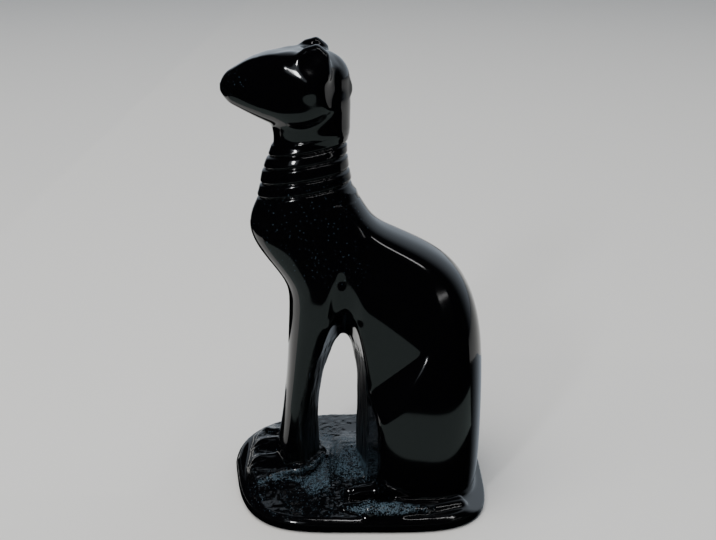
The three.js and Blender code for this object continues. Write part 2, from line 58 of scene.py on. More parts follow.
# Height, front, back, half-width: haunches and back.
HIND = [
    (2, -1.5, 31.3, 21.6), (7, -1.8, 32, 21.9), (14, -2, 32.4, 22), (24, -2.8, 32.5, 21.6),
    (34, -4.6, 32.4, 20.4), (44, -8, 31.8, 17.8), (52, -11, 30.2, 14.9), (58, -13, 27.6, 12.6),
    (63.5, -14, 23.1, 10.6), (67.5, -14, 17.2, 9.2), (71, -13.5, 10, 7.9), (75, -12.5, 2.3, 6.2),
    (80, -12, -2, 4),
]
HIND_POWER = 2.7

# Fillet between forms that meet.
BLEND = {
    "body": 6, "head": 0.8, "front_feet": 2, "ground": 2, "cheek": 3, "ear": 3, "ear_hollow": 1.6,
    "tail_bends": 1.5, "tail": 1.6, "hind_feet": 0.8, "raised": 1.2, "ridge": 1.6, "saddle": 2.2,
}

# Distance along X, underside, top, half-width: the head from the nose back.
HEAD = [
    (-33.3, 104.8, 110.8, 2.6), (-31, 103.5, 111.6, 3.5), (-28, 101.9, 113.6, 4.3), (-25, 100.4, 115.5, 5.4),
    (-21, 98.6, 116.8, 7.2), (-17, 96.8, 117.2, 8.9), (-13, 96.2, 117.5, 9.7), (-9, 97.6, 117.1, 9.7),
    (-5, 100, 115.9, 9.3), (-1, 102, 113.2, 8.5),
]
# Squareness of the head's sections, rounder towards the nose.
HEAD_POWER = {"nose": 2, "back": 2.4, "from": -31, "to": -23}
NOSE = {"x": -33.3, "round": 2.8, "height": 107.2}
CROWN = {"x": -1.3, "round": 8.5, "height": 107}
BROW = {"below": 0.9, "arch": 0.012, "edge": 0.45, "from": -30.5, "to": -24}
NAPE = {"at": (-6.3, 7, 110), "normal": (0.79, 0.61, 0.06), "edge": 0.7}
COLUMN = {"from": (-8.7, 0, 98), "to": (-8.7, 0, 109.3), "radius": 6.8, "blend": 0.6}
CHEEK = {"from": (-16.2, 5, 112.3), "to": (-11.5, 6.5, 109), "radii": (3.6, 4)}
# Ear: outline seen from the side, the plane it lies in and half its thickness.
EAR = [(-13.5, 115), (-12, 116.4), (-9.9, 117), (-8.3, 115.7), (-8.3, 111.8), (-10.6, 110.4), (-12.2, 112.2)]
EAR_PLANE = {"out": 7, "height": 117, "splay": 0.17, "slant": 0.05, "radius": 1.4}
EAR_HOLLOW = {"at": (-11.2, 15.3, 117.2), "radii": (7, 7, 7)}

# The collar: levels of its cut lines on a plane that rises to the back.
COLLAR_LINES = (80.7, 83.9, 87.5, 90.4)
COLLAR_TOP = 93
COLLAR_TILT = 0.17
COLLAR_AXIS = -24
COLLAR_PROUD = 0.4
COLLAR_EDGE = 0.18
LINE = {"depth": 0.5, "width": 0.36}

# The opening between the front legs and the haunches, with its wide flared edges.
GAP = {
    "axis": -5.5, "lean": 0.067, "spring": 18, "crown": 42.6, "flare": 1.02, "half": 5,
    "front_flare": 0.42, "rear_flare": 0.3, "power": 2, "side_power": 1.45, "leg_half": 14, "edge": 1.6,
}

# The groove above the opening, and the flank set back in front of the thigh.
GROOVE = {"from": (-3.6, 15.4, 52), "to": (-3, 13.9, 69.5), "radii": (5.4, 2.9), "edge": 2}
DENT = {"at": (-4, 12, 61), "radii": (1, 1.7, 2.6), "edge": 1}
FLANK = {
    "at": (5.1, 13, 33.2), "out": (-0.32, 1, -0.035), "above": (-0.8, 0.6, 0.617), "edge": 1.2, "blend": 2.2,
    "front": -5, "front_edge": 4,
}

# Feet: each a low rounded form, with shallow lines between the toes.
FRONT_FOOT = {"from": (-18.5, 4.7, 5.6), "to": (-25.4, 4.5, 5.2), "radii": (3.9, 3.6)}
HIND_FOOT = {"from": (9.5, 17.3, 6.2), "to": (-2, 17.6, 5), "radii": (2.7, 1.8)}
FAR_FOOT_BACK = 6
# The toe lines: where they lie across the foot, from where they fade in, and their cut.
FRONT_TOES = {"at": (3.3, 5.9), "from": -24, "to": -26.5}
HIND_TOES = {"at": (17, 18.5), "from": 0.5, "to": -1.5}
TOE_LINE = {"depth": 0.45, "width": 0.4}

# Centre line of the tail and its radii.
TAIL = [(26, -20.6, 3.9), (17, -23.5, 3.9), (9.5, -24.1, 4.3), (3, -24.2, 4.4), (-3.2, -22.9, 4.3)]
TAIL_RADII = (1.7, 2, 2.5, 2.6, 1.2)

# The plinth: reach each way, squareness of the corners, thickness and bevels.
REACH = {"front": 33.9, "rear": 34, "near": 28.3, "far": 27}
PLINTH_CENTRE_Y = 2
SQUARENESS = {"near_front": 3.9, "near_rear": 4.2, "far_front": 2.5, "far_rear": 3}
NEAR_TAPER = 0.005
PLINTH = {
    "thick": 4.5, "rise": 0.02, "top_bevel": 1.3, "bottom_bevel": 0.8, "rear_height": 5, "rear_drop": 0.42,
    "rear_from": 25, "edge": 0.5,
}

# The raised ground under the front feet, its ridge, and the low saddle from there to the haunches.
RAISED = {
    "top": 6.8, "corner": (-26.6, 15), "normal": (0.645, 0.763), "rear": -7.4, "rear_lean": 0.2,
    "front": -30.5, "front_lean": 0.9, "inset": 1.8, "edge": 1, "steep": 0.45, "gentle": 0.24,
}
RIDGE = [
    (-27, 14.2, 5.9), (-22.8, 11.5, 6.9), (-19.5, 10.4, 7.3),
    (-15.5, 10, 7.5), (-12.3, 7.8, 7.5), (-9.8, 1.2, 7),
]
RIDGE_RADIUS = 0.9
SADDLE = {"from": -3, "to": 12, "height": 3.5, "radius": 4, "spread": 0.36, "y": 2}

# Tool marks: long strokes inside the opening and a coarse grain on the ground.
STROKES = {"width": 0.8, "length": 7, "depth": 0.12}
GRAIN = {"size": 1.2, "depth": 0.1}

# Wear. Each pair fades a patch in: nothing of it at the first value, all of it at the second.
FROST_BETWEEN = {"front": (-10, -7), "rear": (8, 6), "sides": (13, 9), "foot": (4, 5)}
FROST_BELOW = {
    "front": (-28, -26), "rear": (-6.6, -8), "crest": (0.3, 1), "reach": 2.4, "more_reach": 15,
    "widening": (-17, -9), "soft_end": 0.6,
}
FROST_TAIL = {
    "front": (-5, -2), "rear": (26, 10), "far": (-23.6, -24.8), "near": (-27.4, -26.4), "foot": (4, 5),
}
DULL_GROUND = {"front": (-30, -27), "rear": (9, 6), "sides": (27.5, 25.5), "foot": (3, 3.8)}
GROUND_TOP = (9.6, 8.2)
POLISHED_FEET = (0.6, 0.2)
ARCH_MARKS = {"depth": (1.6, 0.9), "sides": (13, 8), "top": (46, 36)}
# Pits and dust on the chest and muzzle; their pale dots partly stand for painted glints.
CHEST_PITS_AND_GLINTS = {"low": (58, 64), "high": (88, 82), "rear": (8, -2)}
MUZZLE_PITS_AND_GLINTS = {"rear": (-25, -28), "low": (105, 107), "high": (113, 111)}

# Meshing: lattice steps in millimetres, and the half-sizes and top of the block the lattice fills.
STEP = 0.54
STEP_COLLAR = 0.27
COLLAR_MARGINS = (2, 3.5)
BLOCK = {"x": 36, "y": 31, "top": 121}
STEPS_BELOW = 1.5
# Steps to a coarse cell, and how many coarse cells from the surface the field is still exact.
COARSE = 4
NEAR = 1.9
# Moving the vertices onto the surface, and the span over which slopes are read.
SETTLE = {"rounds": 3, "most": 0.5, "probe": 0.001, "least_slope": 0.04}
NORMAL_PROBE = 0.02
MM = 0.001

# Large odd numbers that scramble a lattice point and a seed into one code.
SCRAMBLE = {"x": 374761393, "y": 668265263, "z": 2147483647, "seed": 144665, "again": 1274126177}
NOISE_SHIFT = 17.31
POSITIVE = 0x7FFFFFFF


def join(a, b, k):
    """Smooth minimum: two forms joined with a fillet of about k."""
    h = np.maximum(1 - np.abs(a - b) / k, 0)
    return np.minimum(a, b) - h ** 3 * k / 6


def cut(a, b, k):
    return -join(-a, b, k)


def both(a, b, k):
    return -join(-a, -b, k)


def curve(rows, column):
    """Natural cubic curve through one column of a table of stations."""
    at = np.array([row[0] for row in rows], float)
    value = np.array([row[column] for row in rows], float)
    step = np.diff(at)
    turn = np.zeros(len(at))
    turn[1:-1] = 6 * np.diff(np.diff(value) / step)
    matrix = np.eye(len(at))
    for i in range(1, len(at) - 1):
        matrix[i, i - 1:i + 2] = step[i - 1], 2 * (step[i - 1] + step[i]), step[i]
    bend = np.linalg.solve(matrix, turn)

    def along(place):
        t = np.clip(place, at[0], at[-1])
        i = np.clip(np.searchsorted(at, t, side="right") - 1, 0, len(at) - 2)
        s = (t - at[i]) / step[i]
        r = 1 - s
        curved = (r ** 3 - r) * bend[i] + (s ** 3 - s) * bend[i + 1]
        return r * value[i] + s * value[i + 1] + step[i] ** 2 / 6 * curved

    return along


def ring(u, v, a, b, power):
    """Distance to a rounded ring of half-sizes a and b."""
    size = np.maximum(((u / a) ** power + (v / b) ** power) ** (1 / power), 1e-6)
    out = np.hypot(u, v)
    return np.where(out < 1e-6, -np.minimum(a, b), out * (1 - 1 / size))


def loft(rows, power):
    """A mass lofted up Z through stations of front, back and half-width."""
    front, back, half = (curve(rows, column) for column in (1, 2, 3))
    low, high = rows[0][0], rows[-1][0]
    e = 0.25

    def form(x, y, z):
        f, b = front(z), back(z)
        u, v = np.abs(x - (f + b) / 2), np.abs(y)
        d = ring(u, v, (b - f) / 2, half(z), power)
        lean = np.where(x > (f + b) / 2, back(z + e) - back(z - e), front(z - e) - front(z + e))
        widen = half(z + e) - half(z - e)
        share = u * u / np.maximum(u * u + v * v, 1e-9)
        slope = (lean * share + widen * (1 - share)) / (2 * e)
        return np.maximum(d / np.hypot(1, slope), np.maximum(low - z, z - high))

    return form


def limb(p, q, r1, r2):
    p, q = np.array(p, float), np.array(q, float)
    axis = q - p

    def form(x, y, z):
        dx, dy, dz = x - p[0], y - p[1], z - p[2]
        t = np.clip((dx * axis[0] + dy * axis[1] + dz * axis[2]) / axis.dot(axis), 0, 1)
        off = np.sqrt((dx - t * axis[0]) ** 2 + (dy - t * axis[1]) ** 2 + (dz - t * axis[2]) ** 2)
        return off - (r1 + (r2 - r1) * t)

    return form


def egg(at, radii):
    def form(x, y, z):
        u, v, w = (x - at[0]) / radii[0], (y - at[1]) / radii[1], (z - at[2]) / radii[2]
        size = np.sqrt(u * u + v * v + w * w)
        steep = np.sqrt((u / radii[0]) ** 2 + (v / radii[1]) ** 2 + (w / radii[2]) ** 2)
        return size * (size - 1) / np.maximum(steep, 1e-9)

    return form


def polygon(u, v, corners):
    """Distance in a plane to a polygon whose corners run one way round."""
    near = np.inf
    inside = True
    for (u0, v0), (u1, v1) in zip(corners, corners[1:] + corners[:1]):
        side = np.array([u1 - u0, v1 - v0])
        t = np.clip(((u - u0) * side[0] + (v - v0) * side[1]) / side.dot(side), 0, 1)
        near = np.minimum(near, np.hypot(u - u0 - t * side[0], v - v0 - t * side[1]))
        inside = inside & ((u - u0) * side[1] - (v - v0) * side[0] >= 0)
    return np.where(inside, -near, near)


def noise(x, y, z, size, seed):
    """Smooth random field between -1 and 1 with features of the given size in millimetres."""
    shift = seed * NOISE_SHIFT
    place = [np.asarray(c, float) / size + shift for c in (x, y, z)]
    base = [np.floor(c).astype(np.int64) for c in place]
    blend = [(c - b) ** 2 * (3 - 2 * (c - b)) for c, b in zip(place, base)]
    total = 0
    for corner in range(8):
        bits = [(corner >> axis) & 1 for axis in range(3)]
        i, j, k = (b + bit for b, bit in zip(base, bits))
        code = i * SCRAMBLE["x"] + j * SCRAMBLE["y"] + k * SCRAMBLE["z"] + seed * SCRAMBLE["seed"] & POSITIVE
        code = (code ^ (code >> 13)) * SCRAMBLE["again"] & POSITIVE
        value = ((code ^ (code >> 16)) & 0xFFFF) / 32767.5 - 1
        weight = 1
        for amount, bit in zip(blend, bits):
            weight = weight * (amount if bit else 1 - amount)
        total = total + value * weight
    return total


def fade(value, low, high):
    """Eases from 0 at one value to 1 at another, in either direction."""
    t = np.clip((value - low) / (high - low), 0, 1)
    return t * t * (3 - 2 * t)


def faded(*limits):
    """Several fades at once, each given as a value and its pair of ends."""
    share = 1
    for value, ends in limits:
        share = share * fade(value, *ends)
    return share


fore_part = loft(FORE, FORE_POWER)
hind_part = loft(HIND, HIND_POWER)


def gap(x, y, z):
    v = np.abs(y)
    top = GAP["crown"] + GAP["flare"] * v
    rise = np.maximum(z - GAP["spring"], 0)
    dx = x - GAP["axis"] - GAP["lean"] * rise
    half = GAP["half"] + np.where(dx < 0, GAP["front_flare"], GAP["rear_flare"]) * v
    power = GAP["power"] + (GAP["side_power"] - GAP["power"]) * np.minimum(v / GAP["leg_half"], 1)
    size = ((np.abs(dx) / half) ** power + (rise / (top - GAP["spring"])) ** power) ** (1 / power)
    return (size - 1) * (GAP["half"] + GAP["rear_flare"] * v)


def collar(x, z):
    level = z - COLLAR_TILT * (x - COLLAR_AXIS)
    rising = 0.5 + 0.5 * np.tanh((level - COLLAR_LINES[0]) / COLLAR_EDGE)
    ending = 0.5 + 0.5 * np.tanh((COLLAR_TOP - level) / COLLAR_EDGE)
    relief = COLLAR_PROUD * rising * ending
    for line in COLLAR_LINES:
        relief = relief - LINE["depth"] * np.exp(-((level - line) / LINE["width"]) ** 2)
    return relief


def side_of(at, normal):
    """Distance in front of a plane."""
    size = math.hypot(*normal)

    def form(x, y, z):
        return ((x - at[0]) * normal[0] + (y - at[1]) * normal[1] + (z - at[2]) * normal[2]) / size

    return form


groove = limb(GROOVE["from"], GROOVE["to"], *GROOVE["radii"])
dent = egg(DENT["at"], DENT["radii"])
flank_out = side_of(FLANK["at"], FLANK["out"])
flank_above = side_of(FLANK["at"], FLANK["above"])


def body(x, y, z):
    mass = join(fore_part(x, y, z), hind_part(x, y, z), BLEND["body"])
    v = np.abs(y)
    set_back = both(-flank_out(x, v, z), -flank_above(x, v, z), FLANK["edge"])
    set_back = both(set_back, FLANK["front"] - x, FLANK["front_edge"])
    mass = cut(mass, set_back, FLANK["blend"])
    mass = cut(mass, groove(x, v, z), GROOVE["edge"])
    mass = cut(mass, dent(x, v, z), DENT["edge"])
    return cut(mass - collar(x, z), gap(x, y, z), GAP["edge"])


head_under, head_top, head_half = (curve(HEAD, column) for column in (1, 2, 3))


def round_end(t):
    """Share of full size at a rounded end, t running from 0 at the end to 1."""
    return np.sqrt(np.maximum(1 - (1 - np.clip(t, 0, 1)) ** 2, 1e-4))


def skull(x, y, z):
    nose = round_end((x - NOSE["x"]) / NOSE["round"])
    crown = round_end((CROWN["x"] - x) / CROWN["round"])
    under, top = head_under(x), head_top(x)
    middle = (under + top) / 2
    middle = middle + (NOSE["height"] - middle) * (1 - nose)
    middle = middle + (CROWN["height"] - middle) * (1 - crown)
    size = nose * crown
    back = np.clip((x - HEAD_POWER["from"]) / (HEAD_POWER["to"] - HEAD_POWER["from"]), 0, 1)
    power = HEAD_POWER["nose"] + (HEAD_POWER["back"] - HEAD_POWER["nose"]) * back
    d = ring(np.abs(z - middle), np.abs(y), (top - under) / 2 * size, head_half(x) * size, power)
    return np.maximum(d, np.maximum(NOSE["x"] - x, x - CROWN["x"]))


column = limb(COLUMN["from"], COLUMN["to"], COLUMN["radius"], COLUMN["radius"])
cheek = limb(CHEEK["from"], CHEEK["to"], *CHEEK["radii"])
ear_hollow = egg(EAR_HOLLOW["at"], EAR_HOLLOW["radii"])


def ear(x, y, z):
    """A rounded leaf standing on the side of the head."""
    u = x + EAR_PLANE["slant"] * y
    v = np.abs(y) - EAR_PLANE["out"] - EAR_PLANE["splay"] * (EAR_PLANE["height"] - z)
    off = np.maximum(polygon(u, z, EAR), 0)
    return np.hypot(off, v) - EAR_PLANE["radius"]


def head(x, y, z):
    v = np.abs(y)
    below = BROW["below"] * np.clip((x - BROW["from"]) / (BROW["to"] - BROW["from"]), 0, 1)
    brow = z - head_top(x) + below + BROW["arch"] * v * v
    nape = sum((c - at) * n for c, at, n in zip((x, v, z), NAPE["at"], NAPE["normal"]))
    form = both(skull(x, y, z), brow, BROW["edge"])
    form = both(form, nape, NAPE["edge"])
    form = join(form, column(x, y, z), COLUMN["blend"])
    form = join(form, cheek(x, v, z), BLEND["cheek"])
    form = join(form, ear(x, y, z), BLEND["ear"])
    return cut(form, ear_hollow(x, v, z), BLEND["ear_hollow"])


def joined(parts, k):
    """Several forms joined one after another."""

    def form(x, y, z):
        whole = parts[0](x, y, z)
        for part in parts[1:]:
            whole = join(whole, part(x, y, z), k)
        return whole

    return form


def foot(shape, toes):
    """One foot with its toe lines."""
    mass = limb(shape["from"], shape["to"], *shape["radii"])

    def form(x, y, z):
        lines = sum(np.exp(-((y - at) / TOE_LINE["width"]) ** 2) for at in toes["at"])
        return mass(x, y, z) + TOE_LINE["depth"] * lines * fade(x, toes["from"], toes["to"])

    return form


front_foot = foot(FRONT_FOOT, FRONT_TOES)
hind_foot = foot(HIND_FOOT, HIND_TOES)
tail = joined(
    [limb(*ends, *radii) for ends, radii in zip(zip(TAIL, TAIL[1:]), zip(TAIL_RADII, TAIL_RADII[1:]))],
    BLEND["tail_bends"],
)


def outline(x, y):
    """Distance from the outline of the plinth in plan."""
    v = y - PLINTH_CENTRE_Y
    near, front = v < 0, x < 0
    taper = np.where(front & near, NEAR_TAPER * v, 0)
    a = np.where(front, REACH["front"] * (1 + taper), REACH["rear"])
    b = np.where(near, REACH["near"] + PLINTH_CENTRE_Y, REACH["far"] - PLINTH_CENTRE_Y)
    near_power = np.where(front, SQUARENESS["near_front"], SQUARENESS["near_rear"])
    far_power = np.where(front, SQUARENESS["far_front"], SQUARENESS["far_rear"])
    return ring(np.abs(x), np.abs(v), a, b, np.where(near, near_power, far_power))


def plinth(x, y, z):
    side = outline(x, y)
    top = z - PLINTH["thick"] - PLINTH["rise"] * y
    drop = PLINTH["rear_drop"] * (x - PLINTH["rear_from"])
    rear = (z - PLINTH["rear_height"] + drop) / math.hypot(1, PLINTH["rear_drop"])
    form = both(side, both(top, rear, PLINTH["edge"]), PLINTH["edge"])
    form = both(form, (side + top + PLINTH["top_bevel"]) * math.sqrt(0.5), PLINTH["edge"])
    return both(form, (side - z + PLINTH["bottom_bevel"]) * math.sqrt(0.5), PLINTH["edge"])


ridge = joined([limb(p, q, RIDGE_RADIUS, RIDGE_RADIUS) for p, q in zip(RIDGE, RIDGE[1:])], BLEND["ridge"])


def raised(x, y, z):
    v = np.abs(y)
    above = z - PLINTH["thick"]
    corner, normal = RAISED["corner"], RAISED["normal"]
    away = (x - corner[0]) * normal[0] + (v - corner[1]) * normal[1]
    back = np.clip((x - corner[0]) / (RAISED["rear"] - corner[0]), 0, 1)
    fall = RAISED["steep"] + (RAISED["gentle"] - RAISED["steep"]) * back
    slope = (z - RAISED["top"] + fall * away) / np.hypot(1, fall)
    rear = (x - RAISED["rear"] + above * RAISED["rear_lean"]) / math.hypot(1, RAISED["rear_lean"])
    front = (RAISED["front"] - x + above * RAISED["front_lean"]) / math.hypot(1, RAISED["front_lean"])
    form = both(z - RAISED["top"], slope, RAISED["edge"])
    form = join(form, ridge(x, v, z), BLEND["ridge"])
    form = both(form, both(rear, front, RAISED["edge"]), RAISED["edge"])
    return both(form, outline(x, y) + RAISED["inset"] + np.maximum(above, 0), RAISED["edge"])


saddle_ends = [(SADDLE[end], 0, SADDLE["height"]) for end in ("from", "to")]
saddle_bar = limb(*saddle_ends, SADDLE["radius"], SADDLE["radius"])


def ground(x, y, z):
    v = np.abs(y)
    form = join(plinth(x, y, z), raised(x, y, z), BLEND["raised"])
    form = join(form, saddle_bar(x, SADDLE["spread"] * (y - SADDLE["y"]), z), BLEND["saddle"])
    form = join(form, hind_foot(x - np.where(y > 0, FAR_FOOT_BACK, 0), v, z), BLEND["hind_feet"])
    return join(form, tail(x, y, z), BLEND["tail"])


ridge_line = [np.array([point[axis] for point in RIDGE]) for axis in (0, 1)]


def frosted(x, y, z):
    """Where the ground is frosted white, from 0 to 1: between the legs, under the ridge and on the tail."""
    v = np.abs(y)
    zone = FROST_BETWEEN
    between = faded((x, zone["front"]), (x, zone["rear"]), (v, zone["sides"]), (z, zone["foot"]))
    zone = FROST_BELOW
    beyond = v - np.interp(x, *ridge_line)
    reach = zone["reach"] + zone["more_reach"] * fade(x, *zone["widening"])
    below = faded((x, zone["front"]), (x, zone["rear"]), (beyond, zone["crest"]))
    below = below * fade(beyond, reach, zone["soft_end"] * reach)
    zone = FROST_TAIL
    beside = faded((x, zone["front"]), (x, zone["rear"]), (y, zone["far"]), (y, zone["near"]))
    beside = beside * fade(z, *zone["foot"])
    return np.max([between, below, beside], axis=0) * fade(z, *GROUND_TOP)


def polished_feet(x, v, z):
    return fade(np.minimum(front_foot(x, v, z), hind_foot(x, v, z)), *POLISHED_FEET)


def matte(x, y, z):
    """Where the ground was left unpolished, from 0 to 1."""
    v = np.abs(y)
    zone = DULL_GROUND
    inner = faded((x, zone["front"]), (x, zone["rear"]), (v, zone["sides"]))
    inner = inner * faded((z, GROUND_TOP), (z, zone["foot"]))
    return np.maximum(inner * (1 - polished_feet(x, v, z)), frosted(x, y, z))


def rough_arch(x, y, z):
    """Where the inside of the opening keeps its tool marks, from 0 to 1."""
    zone = ARCH_MARKS
    return faded((np.abs(gap(x, y, z)), zone["depth"]), (np.abs(y), zone["sides"]), (z, zone["top"]))


def pits_and_glints_at(x, y, z):
    """Where small pits and dust pepper the polish, from 0 to 1, as pale dots that are partly painted glints:
    chest and shoulder, and the tip of the muzzle.
    """
    chest, muzzle = (
        faded((z, zone["low"]), (z, zone["high"]), (x, zone["rear"])) for zone in (CHEST_PITS_AND_GLINTS, MUZZLE_PITS_AND_GLINTS)
    )
    return np.maximum(chest, muzzle)


def relief(x, y, z):
    """Height of the marks left by the tools."""
    strokes = noise(x, y, z / STROKES["length"], STROKES["width"], 1)
    grain = noise(x, y, z, GRAIN["size"], 2) + 0.5 * noise(x, y, z, GRAIN["size"] / 2, 3)
    return STROKES["depth"] * strokes * rough_arch(x, y, z) + GRAIN["depth"] * grain * matte(x, y, z)


def statue(x, y, z):
    form = join(body(x, y, z), head(x, y, z), BLEND["head"])
    form = join(form, front_foot(x, np.abs(y), z), BLEND["front_feet"])
    form = join(form, ground(x, y, z), BLEND["ground"])
    return np.maximum(form - relief(x, y, z), -z)


def levels(low, high, step, fine_from=None, fine_to=None, fine=None):
    """Lattice levels from low to high, finer between two of them."""
    places = [low]
    while places[-1] < high:
        in_fine = fine is not None and fine_from < places[-1] < fine_to
        places.append(places[-1] + (fine if in_fine else step))
    return np.array(places)


def near_surface(field, xs, ys, zs):
    """Lattice of field values, exact near the surface and rough elsewhere."""
    shape = (len(xs), len(ys), len(zs))
    coarse = [c[::COARSE] for c in (xs, ys, zs)]
    rough = field(*np.meshgrid(*coarse, indexing="ij"))
    reach = NEAR * COARSE * STEP

    def refined(values):
        for axis in range(3):
            values = np.repeat(values, COARSE, axis)
        return values[:shape[0], :shape[1], :shape[2]].copy()

    lattice = refined(rough)
    close = refined(np.abs(rough) < reach)
    for axis in range(3):
        grown = close.copy()
        for shift in range(1, COARSE + 1):
            grown |= np.roll(close, shift, axis) | np.roll(close, -shift, axis)
        close = grown
    i, j, k = np.nonzero(close)
    lattice[i, j, k] = field(xs[i], ys[j], zs[k])
    return lattice


def lattice_mesh(lattice, xs, ys, zs):
    """One vertex per cell the surface passes through and one quad per crossed lattice edge."""
    inside = lattice < 0
    cells = tuple(n - 1 for n in lattice.shape)
    count = np.zeros(cells, np.int8)
    corners = [(a, b, c) for a in (0, 1) for b in (0, 1) for c in (0, 1)]
    for a, b, c in corners:
        count += inside[a:cells[0] + a, b:cells[1] + b, c:cells[2] + c]
    i, j, k = np.nonzero((count > 0) & (count < 8))
    number = np.full(cells, -1)
    number[i, j, k] = np.arange(len(i))
    points = np.zeros((len(i), 3))
    crossed = np.zeros(len(i))
    for corner in corners:
        for axis in range(3):
            if corner[axis]:
                continue
            far = list(corner)
            far[axis] = 1
            ends = [(i + a, j + b, k + c) for a, b, c in (corner, far)]
            f0, f1 = (lattice[end] for end in ends)
            hit = (f0 < 0) != (f1 < 0)
            t = np.where(hit, f0 / np.where(f0 == f1, 1, f0 - f1), 0)
            p0, p1 = (np.stack([xs[a], ys[b], zs[c]], 1) for a, b, c in ends)
            points += np.where(hit, 1, 0)[:, None] * (p0 + (p1 - p0) * t[:, None])
            crossed += hit
    points /= crossed[:, None]
    quads = []
    for axis in range(3):
        before = np.take(inside, range(lattice.shape[axis] - 1), axis)
        after = np.take(inside, range(1, lattice.shape[axis]), axis)
        edge = np.stack(np.nonzero(before != after), 1)
        u, v = (axis + 1) % 3, (axis + 2) % 3
        outward = before[tuple(edge.T)]
        around = []
        for du, dv in ((1, 1), (0, 1), (0, 0), (1, 0)):
            cell = edge.copy()
            cell[:, u] -= du
            cell[:, v] -= dv
            around.append(number[tuple(cell.T)])
        quad = np.stack(around, 1)
        quad[~outward] = quad[~outward][:, ::-1]
        quads.append(quad)
    return points, np.concatenate(quads)


def slope_at(field, points, e):
    slope = np.zeros_like(points)
    for axis in range(3):
        shift = np.zeros(3)
        shift[axis] = e
        slope[:, axis] = (field(*(points + shift).T) - field(*(points - shift).T)) / (2 * e)
    return slope


def settle(field, points):
    """Moves each vertex along the slope of the field until it lies on the surface."""
    for _ in range(SETTLE["rounds"]):
        d = np.clip(field(*points.T), -SETTLE["most"], SETTLE["most"])
        slope = slope_at(field, points, SETTLE["probe"])
        steepness = np.maximum((slope ** 2).sum(1), SETTLE["least_slope"])
        points = points - slope * (d / steepness)[:, None]
    return points


def carve():
    xs, ys = (levels(-BLOCK[axis], BLOCK[axis], STEP) for axis in ("x", "y"))
    fine_from, fine_to = COLLAR_LINES[0] - COLLAR_MARGINS[0], COLLAR_TOP + COLLAR_MARGINS[1]
    zs = levels(-STEPS_BELOW * STEP, BLOCK["top"], STEP, fine_from, fine_to, STEP_COLLAR)
    points, quads = lattice_mesh(near_surface(statue, xs, ys, zs), xs, ys, zs)
    points = settle(statue, points)
    mesh = bpy.data.meshes.new("carving")
    mesh.from_pydata(points * MM, [], quads.tolist())
    mesh.shade_smooth()
    normals = slope_at(statue, points, NORMAL_PROBE)
    normals /= np.linalg.norm(normals, axis=1)[:, None]
    mesh.normals_split_custom_set_from_vertices(normals)
    # Masks read by the shader: frost, dull ground, tool strokes, and pits with dust whose pale dots are
    # partly painted glints.
    for name, wear_and_glints in (("frost", frosted), ("matte", matte), ("strokes", rough_arch), ("pit_and_glint_dots", pits_and_glints_at)):
        mesh.attributes.new(name, "FLOAT", "POINT").data.foreach_set("value", wear_and_glints(*points.T))
    piece = bpy.data.objects.new("carving", mesh)
    bpy.context.scene.collection.objects.link(piece)
    return piece


# Stone: colours, roughness and dullness. Noise scales are in features per metre.
BLACK = (0.0015, 0.0015, 0.002, 1)
# Pale grey-blue of frosted and scored stone, also the pale dots of pits and dust that are partly painted
# glints.
WHITENED = (0.06, 0.1, 0.135, 1)
ROUGHNESS = {"polished": 0.08, "dull": 0.55}
DULLNESS = {"ground": 0.2, "strokes": 0.55}
FROST_GRAIN = {"fine": 3300, "patches": 900, "lift": 0.5, "from": 0.62, "to": 0.8, "denser": 0.2}
STROKE_GRAIN = {"scale": 1500, "stretch": (1, 1, 0.08), "from": 0.55, "to": 0.75, "most": 0.3}
# Spacing and size of the pits in millimetres, and how dense they are from place to place; their pale dots
# partly stand for painted glints.
PIT_AND_GLINT_DOTS = {"spacing": 0.9, "size": 0.17, "core": 0.4}
PIT_AND_GLINT_DENSITY = {"scale": 260, "from": 0.4, "to": 0.65, "least": 0.2, "most": 0.8}
BUMP = {"scale": 2600, "distance": 0.0001}
NOISE_DETAIL = 3
RAMP_SOCKETS = ("From Min", "From Max", "To Min", "To Max")


